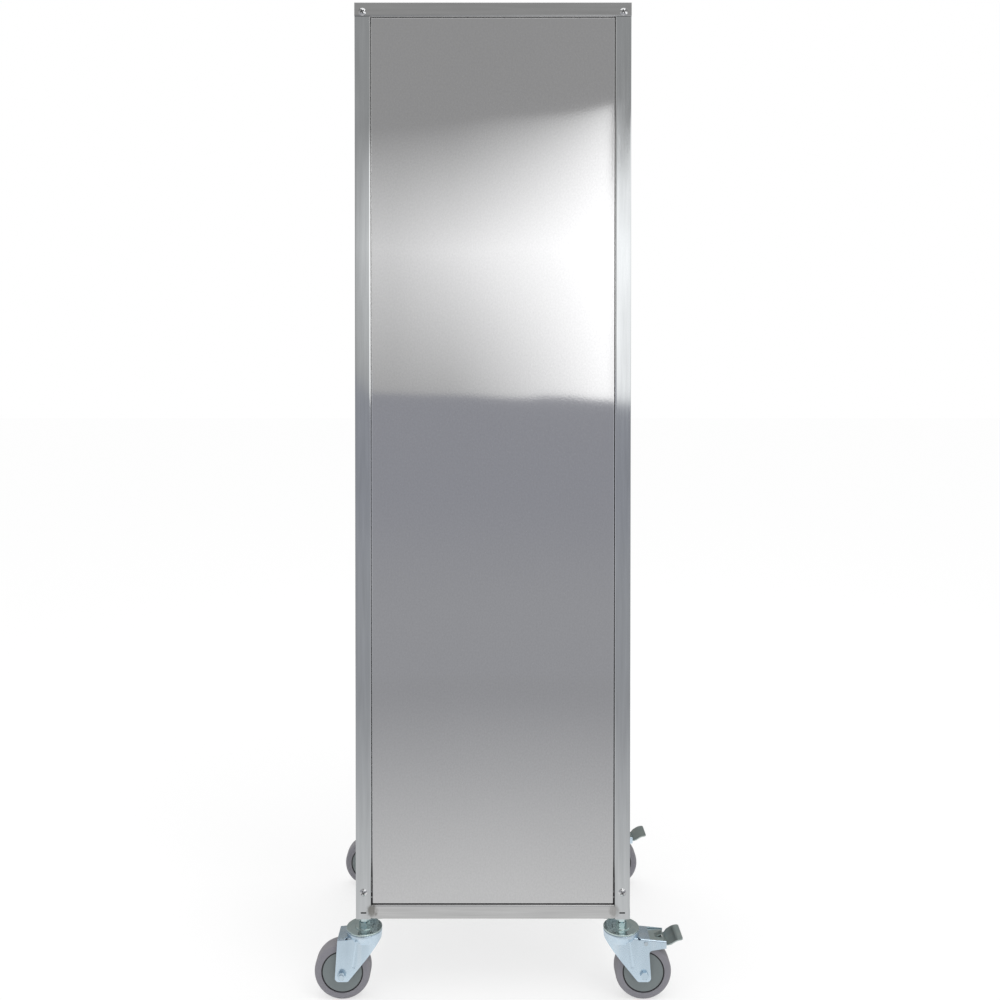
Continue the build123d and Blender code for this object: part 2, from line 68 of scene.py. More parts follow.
wheel_radius = (tyre_high.z - tyre_low.z) / 2

# Section of the tray runners, and where their webs face the trays
runner_sheet = 0.0015
runner_web = 0.025
web_y = -runner_low.y - runner_sheet

# Signs of Y and X at the sides and ends
sides = {"front": -1, "rear": 1}
ends = {"left": -1, "right": 1}


# Sizes and colours

class FinishSettings(bpy.types.PropertyGroup):
    """Colours and gloss of the trolley's materials."""

    panel_colour: FloatVectorProperty(
        name="Panel colour", description="Colour of the polished side and top panels",
        subtype="COLOR", size=3, min=0, max=1, default=(0.60, 0.60, 0.605))
    panel_roughness: FloatProperty(
        name="Panel roughness", description="How blurred the panels reflect",
        subtype="FACTOR", min=0, max=1, default=0.058)
    tube_colour: FloatVectorProperty(
        name="Tube colour", description="Colour of the satin square tube",
        subtype="COLOR", size=3, min=0, max=1, default=(0.565, 0.582, 0.592))
    rail_colour: FloatVectorProperty(
        name="Rail colour", description="Colour of the satin rails between and over the posts",
        subtype="COLOR", size=3, min=0, max=1, default=(0.55, 0.55, 0.55))
    tube_roughness: FloatProperty(
        name="Tube roughness", description="How blurred the square tube reflects",
        subtype="FACTOR", min=0, max=1, default=0.09)
    runner_roughness: FloatProperty(
        name="Runner roughness", description="How blurred the tray runners reflect",
        subtype="FACTOR", min=0, max=1, default=0.33)
    zinc_colour: FloatVectorProperty(
        name="Zinc colour", description="Colour of the zinc plate on the castors",
        subtype="COLOR", size=3, min=0, max=1, default=(0.575, 0.695, 0.79))
    rubber_colour: FloatVectorProperty(
        name="Tyre colour", description="Colour of the grey rubber tyres",
        subtype="COLOR", size=3, min=0, max=1, default=(0.213, 0.209, 0.233))
    cover_colour: FloatVectorProperty(
        name="Hub cover colour", description="Colour of the moulded discs on the wheels",
        subtype="COLOR", size=3, min=0, max=1, default=(0.162, 0.188, 0.192))
    # Near black as painted shade: the cores show in the gap between tyre and hub cover, where shade
    # falls.
    core_colour: FloatVectorProperty(
        name="Wheel core colour", description="Colour of the moulded wheels inside the tyres",
        subtype="COLOR", size=3, min=0, max=1, default=(0.016, 0.016, 0.017))
    bush_colour: FloatVectorProperty(
        name="Bush colour", description="Colour of the nylon bushes in the wheels",
        subtype="COLOR", size=3, min=0, max=1, default=(0.66, 0.64, 0.57))
    screw_colour: FloatVectorProperty(
        name="Screw colour", description="Colour of the corner screws",
        subtype="COLOR", size=3, min=0, max=1, default=(0.66, 0.665, 0.67))
    # Near black as painted shade: the sockets show through the slots in the posts, where shade falls
    # inside.
    socket_colour: FloatVectorProperty(
        name="Socket colour", description="Colour of the castor sockets in the posts",
        subtype="COLOR", size=3, min=0, max=1, default=(0.045, 0.045, 0.047))
    raceway_colour: FloatVectorProperty(
        name="Raceway colour", description="Colour of the discs over the castor forks",
        subtype="COLOR", size=3, min=0, max=1, default=(0.53, 0.635, 0.63))
    stem_colour: FloatVectorProperty(
        name="Stem colour", description="Colour of the castor stems and their nuts",
        subtype="COLOR", size=3, min=0, max=1, default=(0.60, 0.72, 0.75))
    pin_colour: FloatVectorProperty(
        name="Pin colour", description="Colour of the pins under the brake pedals",
        subtype="COLOR", size=3, min=0, max=1, default=(0.52, 0.59, 0.64))
    pedal_colour: FloatVectorProperty(
        name="Pedal colour", description="Colour of the brake pedals",
        subtype="COLOR", size=3, min=0, max=1, default=(0.45, 0.52, 0.51))
    shoe_colour: FloatVectorProperty(
        name="Shoe colour", description="Colour of the rubber brake shoes",
        subtype="COLOR", size=3, min=0, max=1, default=(0.022, 0.022, 0.023))


class DetailSettings(bpy.types.PropertyGroup):
    """Sizes of the weld and thread details."""

    fill_width: FloatProperty(
        name="Weld fill width", description="Width of the ground weld between a post and a rail",
        subtype="DISTANCE", unit="LENGTH", default=0.0030)
    fill_depth: FloatProperty(
        name="Weld fill depth", description="Depth of the ground weld behind the tube's face",
        subtype="DISTANCE", unit="LENGTH", default=0.0020)
    bead_radius: FloatProperty(
        name="Weld bead radius", description="Half the width of the weld beads inside the frame",
        subtype="DISTANCE", unit="LENGTH", default=0.0022)
    bead_ripple: FloatProperty(
        name="Weld ripple", description="Distance between two ripples of a weld bead",
        subtype="DISTANCE", unit="LENGTH", default=0.0016)
    spot_radius: FloatProperty(
        name="Spot weld radius", description="Radius of the spot welds that hold the runners",
        subtype="DISTANCE", unit="LENGTH", default=0.0026)
    runner_levels: IntProperty(
        name="Runner levels", description="Number of tray runners on each side", min=2, default=15)
    thread_pitch: FloatProperty(
        name="Thread pitch", description="Pitch of the thread on the axle bolts",
        subtype="DISTANCE", unit="LENGTH", default=0.00125)
    thread_height: FloatProperty(
        name="Thread height", description="Height of the thread above the bolt's shank",
        subtype="DISTANCE", unit="LENGTH", default=0.00035)


class StageSettings(bpy.types.PropertyGroup):
    """Camera and light."""

    camera_place: FloatVectorProperty(
        name="Camera place", description="Where the camera stands",
        subtype="TRANSLATION", unit="LENGTH", size=3, default=(-0.0158, -2.0197, 1.1017))
    camera_tilt: FloatProperty(
        name="Camera tilt", description="How far the camera looks down",
        subtype="ANGLE", unit="ROTATION", default=math.radians(0.716))
    camera_lens: FloatProperty(
        name="Lens", description="Focal length on a 36 mm wide sensor",
        unit="CAMERA", default=36.514)
    camera_shift: FloatVectorProperty(
        name="Lens shift", description="Sideways and upward shift of the lens",
        size=2, default=(0.01597, -0.10422))
    key_power: FloatProperty(
        name="Key lamp", description="Power of the large soft lamp over the right front corner",
        unit="POWER", default=10.0)
    top_power: FloatProperty(
        name="Top lamp", description="Power of the soft lamp straight above",
        unit="POWER", default=14.0)


# Node materials

class Value:
    """An output socket of a material. Arithmetic on it adds Math nodes."""

    def __init__(self, finish, socket):
        self.finish = finish
        self.socket = socket

    def math(self, operation, *terms):
        """Result of a Math node with these terms."""
        return self.finish.add("ShaderNodeMath", {"operation": operation}, dict(enumerate(terms)))

    def __add__(self, other):
        return self.math("ADD", self, other)

    def __radd__(self, other):
        return self.math("ADD", other, self)

    def __sub__(self, other):
        return self.math("SUBTRACT", self, other)

    def __rsub__(self, other):
        return self.math("SUBTRACT", other, self)

    def __mul__(self, other):
        return self.math("MULTIPLY", self, other)

    def __truediv__(self, other):
        return self.math("DIVIDE", self, other)

    def __pow__(self, other):
        return self.math("POWER", self, other)

    def __abs__(self):
        return self.math("ABSOLUTE", self)

    def least(self, other):
        """The lower of the two."""
        return self.math("MINIMUM", self, other)

    def most(self, other):
        """The higher of the two."""
        return self.math("MAXIMUM", self, other)


class Finish:
    """A material made of nodes that read Object coordinates."""

    def __init__(self, name):
        self.material = bpy.data.materials.new(name)
        self.material.use_nodes = True
        self.tree = self.material.node_tree
        self.tree.nodes.clear()
        self.place = self.add("ShaderNodeTexCoord", output="Object")
        self.x, self.y, self.z = (
            self.add("ShaderNodeSeparateXYZ", {}, {0: self.place}, axis) for axis in "XYZ")

    def add(self, kind, settings=None, inputs=None, output=0):
        """Add a node with its settings and the values or links of its sockets."""
        node = self.tree.nodes.new(kind)
        for name, setting in (settings or {}).items():
            setattr(node, name, setting)
        for name, value in (inputs or {}).items():
            socket = node.inputs[name]
            if isinstance(value, Value):
                self.tree.links.new(value.socket, socket)
            elif socket.type == "RGBA" and len(value) == 3:
                socket.default_value = (*value, 1.0)
            else:
                socket.default_value = value
        return Value(self, node.outputs[output] if len(node.outputs) else None)

    def mix(self, factor, first, second):
        """Colour between two colours."""
        return self.add("ShaderNodeMix", {"data_type": "RGBA"}, {0: factor, 6: first, 7: second}, 2)

    def step(self, value, low, high):
        """0 below low and 1 above high, smooth between."""
        return self.add("ShaderNodeMapRange", {"interpolation_type": "SMOOTHSTEP"},
                        {"Value": value, "From Min": low, "From Max": high})

    def line(self, value, low, high, start, end):
        """Straight line from start at low to end at high, level outside."""
        return self.add("ShaderNodeMapRange", {},
                        {"Value": value, "From Min": low, "From Max": high,
                         "To Min": start, "To Max": end})

    def noise(self, scale, detail=3.0, stretch=(1.0, 1.0, 1.0), shift=(0.0, 0.0, 0.0)):
        """Cloudy value between about 0.2 and 0.8."""
        place = self.add("ShaderNodeMapping", {},
                         {"Vector": self.place, "Location": shift, "Scale": stretch})
        return self.add("ShaderNodeTexNoise", {}, {"Vector": place, "Scale": scale, "Detail": detail})

    def bump(self, height, distance):
        """Normal from a height between 0 and 1 and the distance that 1 stands for."""
        return self.add("ShaderNodeBump", {}, {"Height": height, "Distance": distance})

    def surface(self, **inputs):
        """Finish with a Principled surface; underscores in names stand for spaces."""
        named = {name.replace("_", " "): value for name, value in inputs.items()}
        return self.output(self.add("ShaderNodeBsdfPrincipled", {}, named))

    def output(self, shader):
        """Finish with this shader."""
        self.add("ShaderNodeOutputMaterial", {}, {"Surface": shader})
        return self.material


def shaded(colour, amount):
    """A colour made lighter or darker, all of it alike."""
    return tuple(min(1.0, part * amount) for part in colour)


def grey(level):
    """A colour without a tint."""
    return (level, level, level)


def along(axis, fine, coarse):
    """Scales of a pattern that is drawn out along one axis."""
    return tuple(coarse if name == axis else fine for name in "XYZ")


def coat(material, *starts):
    """Put a material on every CAD node whose name starts with one of these words."""
    found = [node for name, node in nodes.items() if name.startswith(starts)]
    if not found:
        raise RuntimeError(f"no CAD node starts with {starts}")
    for node in found:
        node.data.materials.clear()
        node.data.materials.append(material)


def edge_light(finish, colour, edge):
    """Light up an edge on the upper part of the body, less and less towards the floor."""
    share = finish.line(finish.z, 0.25, 0.75, 0.1, 1.0)
    return finish.mix(edge * share, colour, grey(0.97))


def foot_shade(finish, colour, edge):
    """Darken an edge beside the foot of a post, where its gap shows no light."""
    share = 1.0 - finish.step(finish.z, 0.20, 0.26)
    return finish.mix(edge * share, colour, grey(0.06))


def grinding_smear(finish):
    """Where the grinding wheel went over the welds at the bottom rails, stronger at the left end."""
    wander = finish.noise(170.0, 4.0)
    streaks = finish.noise(1.0, 3.0, along("Z", 520.0, 75.0))
    side = abs(finish.x) - (inside_x - 0.001)
    rise = (finish.z - (rail_z + 0.0025)) * 0.85
    reach = (side * side + rise * rise) ** 0.5 + (wander - 0.5) * 0.009
    smear = (1.0 - finish.step(reach, 0.0045, 0.0125)) * (1.0 + (streaks - 0.5) * 1.6)
    return smear.most(0.0).least(1.0) * finish.line(finish.x, -0.1, 0.1, 0.92, 0.48)


def satin_tube(name, axis, colour, roughness, bright_corner=0.0, bright_under=0.0):
    """Satin stainless tube, brushed along its axis, with marks of grinding at the lower joints.

    The glint of the corners beside the panel and of the top rail's lower edge can be set apart.
    """
    # Grey of the dark joint line on the post and of the painted shade under the rail's edge
    seam_grey = (0.16, 0.165, 0.17)
    smear_grey = (0.225, 0.22, 0.205)
    finish = Finish(name)
    lines = finish.noise(1.0, 3.0, along(axis, 900.0, 9.0))
    hairs = finish.noise(1.0, 2.0, along(axis, 3200.0, 30.0))
    clouds = finish.noise(14.0, 3.0)
    stains = finish.noise(1.0, 2.0, along(axis, 150.0, 8.0))
    tone = (lines - 0.5) * 0.50 + (hairs - 0.5) * 0.35 + (clouds - 0.5) * 0.35 + (stains - 0.5) * 1.3
    metal = finish.mix(tone + 0.5, shaded(colour, 0.90), shaded(colour, 1.10))
    corner = 1.0 - finish.step(abs(finish.x), inside_x + 0.0004, inside_x + 0.0018)
    metal = edge_light(finish, metal, corner * bright_corner)
    metal = foot_shade(finish, metal, corner * bright_corner)
    # Dark joint line at the top of each post, and painted shade on the rounded lower edge of the rail
    # above it.
    seam = finish.step(finish.z, seam_z - 0.0009, seam_z - 0.0003)
    seam = seam * (1.0 - finish.step(finish.z, seam_z + 0.0020, seam_z + 0.0034))
    metal = finish.mix(seam * 0.5, metal, seam_grey)
    under = 1.0 - finish.step(abs(finish.z - seam_z), 0.0002, 0.0007)
    metal = edge_light(finish, metal, under * bright_under)
    smear = grinding_smear(finish)
    metal = finish.mix(smear, metal, smear_grey)
    rough = roughness + (clouds - 0.5) * 0.05 + (lines - 0.5) * 0.05 + smear * 0.10
    return finish.surface(Base_Color=metal, Metallic=1.0, Roughness=rough,
                          Normal=finish.bump(lines + hairs * 0.5, 0.000008))


def polished_sheet(name, axis, settings, bright_folds=0.0):
    """Bright-rolled stainless sheet with a faint grain and the slight waves of a thin panel.

    The glint of its folds along the posts and rails can be set.
    """
    finish = Finish(name)
    grain = finish.noise(1.0, 2.0, along(axis, 1500.0, 16.0))
    clouds = finish.noise(7.0, 3.0)
    waves = finish.noise(3.2, 1.0, shift=(0.4, 0.0, 0.7))
    speckle = finish.noise(340.0, 2.0, along("Z", 1.0, 0.75))
    tone = (grain - 0.5) * 0.35 + (clouds - 0.5) * 0.30 + (speckle - 0.5) * 1.5 + 0.5
    colour = finish.mix(tone, shaded(settings.panel_colour, 0.95), shaded(settings.panel_colour, 1.05))
    beside = finish.step(abs(finish.x), inside_x - 0.0032, inside_x - 0.0018)
    above = finish.step(finish.z, seam_z - 0.0034, seam_z - 0.0020)
    below = 1.0 - finish.step(finish.z, rail_high.z + 0.0022, rail_high.z + 0.0036)
    colour = edge_light(finish, colour, beside.most(above).most(below) * bright_folds)
    colour = foot_shade(finish, colour, beside * bright_folds)
    rough = settings.panel_roughness + (clouds - 0.5) * 0.02 + (grain - 0.5) * 0.015
    return finish.surface(Base_Color=colour, Metallic=1.0, Roughness=rough,
                          Normal=finish.bump(waves + grain * 0.004 + speckle * 0.008, 0.0011))


def runner_steel(name, settings):
    """Plain rolled stainless sheet with scuffs on the ledges where trays slide."""
    finish = Finish(name)
    grain = finish.noise(1.0, 3.0, along("X", 1200.0, 12.0))
    clouds = finish.noise(22.0, 3.0)
    scuffs = finish.noise(1.0, 3.0, along("X", 500.0, 11.0))
    ledge = finish.step(web_y - abs(finish.y), 0.0035, 0.0075)
    worn = finish.step(scuffs, 0.52, 0.72) * ledge
    tone = (grain - 0.5) * 0.35 + (clouds - 0.5) * 0.4 + 0.5
    colour = finish.mix(tone, shaded(settings.tube_colour, 1.05), shaded(settings.tube_colour, 1.25))
    rough = settings.runner_roughness + (clouds - 0.5) * 0.08 + worn * 0.14
    return finish.surface(Base_Color=colour, Metallic=1.0, Roughness=rough,
                          Normal=finish.bump(grain, 0.00001))


def zinc(name, colour, roughness):
    """Bright zinc plate, blue passivated: clouded, streaked downwards, a little uneven in gloss."""
    finish = Finish(name)
    clouds = finish.noise(40.0, 3.0)
    streaks = finish.noise(1.0, 2.0, along("Z", 58.0, 9.0), (0.3, 0.8, 0.1))
    pickle = finish.noise(900.0, 2.0)
    tone = (clouds - 0.5) * 0.5 + (streaks - 0.5) * 1.3 + (pickle - 0.5) * 0.15 + 0.5
    plate = finish.mix(tone, shaded(colour, 0.90), shaded(colour, 1.08))
    warmer = (colour[0] * 1.10, colour[1] * 1.02, colour[2] * 0.97)
    plate = finish.mix(finish.step(streaks, 0.48, 0.68) * 0.5, plate, warmer)
    rough = roughness + (clouds - 0.5) * 0.06 + (pickle - 0.5) * 0.04
    return finish.surface(Base_Color=plate, Metallic=1.0, Roughness=rough,
                          Normal=finish.bump(pickle, 0.000004))


def turned_steel(name, colour, roughness):
    """Turned steel with faint clouds: bright, or near black where it is painted shade."""
    finish = Finish(name)
    clouds = finish.noise(240.0, 3.0)
    fine = finish.noise(2400.0, 2.0)
    tone = (clouds - 0.5) * 0.6 + (fine - 0.5) * 0.3 + 0.5
    bright = finish.mix(tone, shaded(colour, 0.90), shaded(colour, 1.06))
    rough = roughness + (clouds - 0.5) * 0.08
    return finish.surface(Base_Color=bright, Metallic=1.0, Roughness=rough)


def screw_steel(name, colour, roughness):
    """Bright steel of the corner screws, with painted shade in the cross recess of each head."""
    head_radius = 0.007
    dome_radius = 0.0089
    recess_reach = 0.00424
    recess_limit = 0.00469
    # Painted shade of the cross recess
    recess_grey = (0.05, 0.05, 0.052)
    finish = Finish(name)
    clouds = finish.noise(240.0, 3.0)
    across = abs(finish.x) - (screw_high.x - head_radius)
    upper = abs(finish.z - (screw_high.z - head_radius))
    lower = abs(finish.z - (screw_low.z + head_radius))
    rise = upper.least(lower)
    spread = across * across + rise * rise
    dome = screw_high.y - dome_radius + (dome_radius ** 2 - spread).most(0.0) ** 0.5
    inner = 1.0 - finish.step(spread, recess_reach ** 2, recess_limit ** 2)
    depth = (dome - abs(finish.y)) * inner
    bright = finish.mix((clouds - 0.5) * 1.2 + 0.5, shaded(colour, 0.90), shaded(colour, 1.06))
    # Painted shade: the steel is darkened inside the cross recess, where shade falls.
    bright = finish.mix(finish.step(depth, 0.00015, 0.0006) * 0.85, bright, recess_grey)
    rough = roughness + (clouds - 0.5) * 0.08
    return finish.surface(Base_Color=bright, Metallic=1.0, Roughness=rough)


def axle_radius(finish):
    """Distance from the axle, the same at all four wheels."""
    across = abs(finish.x) - axle_x
    rise = finish.z - axle_z
    return (across * across + rise * rise) ** 0.5


def tyre_rubber(name, settings):
    """Grey rubber, duller and dustier on the tread than on the moulded side walls."""
    dust = (0.27, 0.262, 0.262)
    finish = Finish(name)
    clouds = finish.noise(70.0, 4.0)
    grain = finish.noise(1800.0, 3.0)
    radius = axle_radius(finish)
    tread = finish.step(radius + (clouds - 0.5) * 0.002, wheel_radius - 0.0025, wheel_radius - 0.0008)
    tone = (clouds - 0.5) * 0.7 + (grain - 0.5) * 0.5 + 0.5
    colour = finish.mix(tone, shaded(settings.rubber_colour, 0.88), shaded(settings.rubber_colour, 1.12))
    colour = finish.mix(tread * (0.15 + clouds * 0.35), colour, dust)
    rough = 0.52 + (clouds - 0.5) * 0.12 + tread * 0.2
    return finish.surface(Base_Color=colour, Roughness=rough, Specular_IOR_Level=0.4,
                          Normal=finish.bump(grain, 0.00004))


def cover_plastic(name, settings):
    """Grey moulded plastic with a fine spark-eroded grain and faint rings from the mould."""
    finish = Finish(name)
    clouds = finish.noise(45.0, 3.0)
    grain = finish.noise(2600.0, 2.0)
    radius = axle_radius(finish)
    rings = finish.add("ShaderNodeMath", {"operation": "SINE"}, {0: radius * 5200.0})
    tone = (clouds - 0.5) * 0.6 + (grain - 0.5) * 0.4 + rings * 0.05 + 0.5
    colour = finish.mix(tone, shaded(settings.cover_colour, 0.92), shaded(settings.cover_colour, 1.08))
    rough = 0.42 + (clouds - 0.5) * 0.1 + (grain - 0.5) * 0.1
    return finish.surface(Base_Color=colour, Roughness=rough,
                          Normal=finish.bump(grain + rings * 0.1, 0.00003))


def plain_plastic(name, colour, roughness):
    """Moulded plastic or dull rubber with slight clouds and grain."""
    finish = Finish(name)
    clouds = finish.noise(90.0, 3.0)
    grain = finish.noise(1600.0, 2.0)
    tone = (clouds - 0.5) * 0.7 + (grain - 0.5) * 0.5 + 0.5
    tinted = finish.mix(tone, shaded(colour, 0.85), shaded(colour, 1.15))
    rough = roughness + (clouds - 0.5) * 0.12
    return finish.surface(Base_Color=tinted, Roughness=rough, Normal=finish.bump(grain, 0.00004))


def weld_steel(name):
    """Brushed-off weld metal with straw and blue heat tint."""
    dull = (0.42, 0.41, 0.39)
    straw = (0.56, 0.545, 0.51)
    blue = (0.36, 0.39, 0.44)
    finish = Finish(name)
    clouds = finish.noise(220.0, 3.0)
    fine = finish.noise(1500.0, 3.0)
    colour = finish.mix(finish.step(clouds, 0.35, 0.65), dull, straw)
    colour = finish.mix(finish.step(fine, 0.55, 0.75) * 0.4, colour, blue)
    rough = 0.38 + (fine - 0.5) * 0.2
    return finish.surface(Base_Color=colour, Metallic=1.0, Roughness=rough,
                          Normal=finish.bump(fine, 0.00006))


# Modelling helpers

def new_piece(name):
    """The primitive that was just added, under its own name."""
    piece = bpy.context.object
    piece.name = name
    piece.data.name = name
    return piece


def deselect():
    """Object mode with nothing selected."""
    if bpy.context.object and bpy.context.object.mode != "OBJECT":
        bpy.ops.object.mode_set(mode="OBJECT")
    bpy.ops.object.select_all(action="DESELECT")


def pick(piece, kind, wanted):
    """Select in edit mode the vertices, edges or faces for which wanted is true.

    It is called with a vertex's place, with an edge's middle and direction, or with a face's middle
    and normal.
    """
    bpy.ops.object.mode_set(mode="OBJECT")
    mesh = piece.data
    points = [vertex.co for vertex in mesh.vertices]
    for parts in (mesh.vertices, mesh.edges, mesh.polygons):
        parts.foreach_set("select", [False] * len(parts))
    if kind == "VERT":
        for vertex in mesh.vertices:
            vertex.select = wanted(vertex.co)
    elif kind == "EDGE":
        for edge in mesh.edges:
            first, second = (points[index] for index in edge.vertices)
            edge.select = wanted((first + second) / 2, (second - first).normalized())
    else:
        for face in mesh.polygons:
            face.select = wanted(face.center, face.normal)
    bpy.context.tool_settings.mesh_select_mode = (kind == "VERT", kind == "EDGE", kind == "FACE")
    bpy.ops.object.mode_set(mode="EDIT")


def finish_mesh(piece, angle=35.0):
    """Merge doubles, turn the faces outwards, and shade smooth between sharp edges."""
    bpy.ops.object.mode_set(mode="EDIT")
    bpy.ops.mesh.select_all(action="SELECT")
    bpy.ops.mesh.remove_doubles(threshold=1e-6)
    bpy.ops.mesh.normals_make_consistent(inside=False)
    bpy.ops.object.mode_set(mode="OBJECT")
    deselect()
    piece.select_set(True)
    bpy.context.view_layer.objects.active = piece
    bpy.ops.object.transform_apply(location=True, rotation=True, scale=True)
    bpy.ops.object.shade_smooth_by_angle(angle=math.radians(angle))


def copied(piece, name, matrix):
    """A copy with its own mesh, moved by a matrix; a mirrored copy keeps its faces outwards."""
    copy = piece.copy()
    copy.data = piece.data.copy()
    copy.name = name
    copy.data.name = name
    copy.data.transform(matrix)
    if matrix.determinant() < 0:
        copy.data.flip_normals()
    bpy.context.scene.collection.objects.link(copy)
    return copy


def joined(pieces, name):
    """One piece of several."""
    deselect()
    for piece in pieces:
        piece.select_set(True)
    bpy.context.view_layer.objects.active = pieces[0]
    bpy.ops.object.join()
    return new_piece(name)


def put_on(piece, material, body):
    """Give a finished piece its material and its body."""
    piece.data.materials.clear()
    piece.data.materials.append(material)
    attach(piece, body)


def corners():
    """Names and signs of the four corners."""
    for side, sy in sides.items():
        for end, sx in ends.items():
            yield f"{side}_{end}", sx, sy


# Finishes of the CAD nodes

class TROLLEY_OT_finish_frame(bpy.types.Operator):
    """Brushed finish of the square tube, along each tube"""
    bl_idname = "trolley.finish_frame"
    bl_label = "Frame tube"

    def execute(self, context):
        settings = context.scene.trolley_finishes
        gloss = settings.tube_roughness
        coat(satin_tube("satin tube upright", "Z", settings.tube_colour, gloss, bright_corner=0.9),
             "post")
        coat(satin_tube("satin tube lengthwise", "X", settings.rail_colour, gloss, bright_under=0.9),
             "top_rail", "bottom_rail")
        coat(satin_tube("satin tube crosswise", "Y", settings.tube_colour, gloss),
             "top_cross", "bottom_cross", "rail_end")
        return {"FINISHED"}


class TROLLEY_OT_finish_panels(bpy.types.Operator):
    """Polished finish of the side and top panels"""
    bl_idname = "trolley.finish_panels"
    bl_label = "Panels"

    def execute(self, context):
        settings = context.scene.trolley_finishes
        coat(polished_sheet("polished side sheet", "Z", settings, bright_folds=0.9), "side_panel")
        coat(polished_sheet("polished top sheet", "X", settings), "top_panel")
        return {"FINISHED"}


class TROLLEY_OT_finish_runners(bpy.types.Operator):
    """Rolled finish of the tray runners"""
    bl_idname = "trolley.finish_runners"
    bl_label = "Tray runners"

    def execute(self, context):
        coat(runner_steel("runner sheet", context.scene.trolley_finishes), "tray_runners")
        return {"FINISHED"}


class TROLLEY_OT_finish_fastenings(bpy.types.Operator):
    """Bright finish of the screws and inserts, and sockets dark as painted shade"""
    bl_idname = "trolley.finish_fastenings"
    bl_label = "Screws and sockets"

    def execute(self, context):
        settings = context.scene.trolley_finishes
        coat(screw_steel("bright screw steel", settings.screw_colour, 0.18), "frame_screws")
        coat(zinc("insert zinc", settings.zinc_colour, 0.34), "cross_rail_inserts")
        # The sockets are coloured near black as painted shade, for the shade inside the posts behind the
        # slots.
        coat(turned_steel("blackened socket steel", settings.socket_colour, 0.42), "castor_sockets")
        return {"FINISHED"}


class TROLLEY_OT_finish_castors(bpy.types.Operator):
    """Zinc plate of the forks, swivel heads and axles"""
    bl_idname = "trolley.finish_castors"
    bl_label = "Castors"

    def execute(self, context):
        settings = context.scene.trolley_finishes
        coat(zinc("fork zinc", settings.zinc_colour, 0.27), "fork")
        coat(zinc("raceway zinc", settings.raceway_colour, 0.16), "upper_raceways")
        coat(zinc("stem zinc", settings.stem_colour, 0.18), "castor_stems", "stem_lock_nuts")
        coat(zinc("axle zinc", shaded(settings.zinc_colour, 0.94), 0.24), "axle_bolt", "axle_sleeve")
        coat(turned_steel("pin steel", settings.pin_colour, 0.20), "brake_pin")
        return {"FINISHED"}


class TROLLEY_OT_finish_wheels(bpy.types.Operator):
    """Rubber and plastic of the wheels"""
    bl_idname = "trolley.finish_wheels"
    bl_label = "Wheels"

    def execute(self, context):
        settings = context.scene.trolley_finishes
        coat(tyre_rubber("grey tyre rubber", settings), "tyre")
        coat(cover_plastic("grey hub plastic", settings), "hub_covers")
        # The wheel cores are coloured near black as painted shade, for the shaded gap between tyre and
        # hub cover.
        coat(plain_plastic("black wheel plastic", settings.core_colour, 0.38), "wheel_core")
        coat(plain_plastic("natural bush nylon", settings.bush_colour, 0.45), "wheel_bushes")
        return {"FINISHED"}


class TROLLEY_OT_finish_brakes(bpy.types.Operator):
    """Plate of the brake pedals and rubber of their shoes"""
    bl_idname = "trolley.finish_brakes"
    bl_label = "Brakes"

    def execute(self, context):
        settings = context.scene.trolley_finishes
        coat(zinc("pedal zinc", settings.pedal_colour, 0.34), "brake_pedal")
        coat(plain_plastic("black shoe rubber", settings.shoe_colour, 0.62), "brake_shoe")
        return {"FINISHED"}


# Details made here

class TROLLEY_OT_weld_fills(bpy.types.Operator):
    """Welds ground flush with the outer faces where the bottom rails meet the posts"""
    bl_idname = "trolley.weld_fills"
    bl_label = "Ground welds"

    def execute(self, context):
        details = context.scene.trolley_details
        proud = 0.00003
        rail_share = 0.1
        side_bevel = 0.0006
        end_bevel = 0.0010
        end_margin = 0.0022
        height = rail_high.z - rail_low.z - 2 * end_margin
        centre = Vector((inside_x + details.fill_width * (0.5 - rail_share),
                         outside_y + proud - details.fill_depth / 2,
                         rail_z))
        deselect()
        bpy.ops.mesh.primitive_cube_add(size=1, location=centre,
                                        scale=(details.fill_width, details.fill_depth, height))
        fill = new_piece("weld_fill_rear_right")
        bpy.ops.object.transform_apply(location=True, rotation=True, scale=True)
        pick(fill, "EDGE", lambda middle, way: abs(way.z) > 0.9 and middle.y > centre.y)
        bpy.ops.mesh.bevel(offset=side_bevel, segments=3, affect="EDGES")
        pick(fill, "EDGE", lambda middle, way: abs(way.x) > 0.9 and middle.y > centre.y)
        bpy.ops.mesh.bevel(offset=end_bevel, segments=3, affect="EDGES")
        pick(fill, "EDGE", lambda middle, way: abs(way.z) > 0.9)
        bpy.ops.mesh.subdivide(number_cuts=9)
        finish_mesh(fill)
        settings = context.scene.trolley_finishes
        material = satin_tube("ground weld", "Z", settings.rail_colour, settings.tube_roughness)
        for corner, sx, sy in corners():
            piece = fill
            if (sx, sy) != (1, 1):
                piece = copied(fill, f"weld_fill_{corner}", Matrix.Diagonal((sx, sy, 1, 1)))
            put_on(piece, material, "frame")
        return {"FINISHED"}


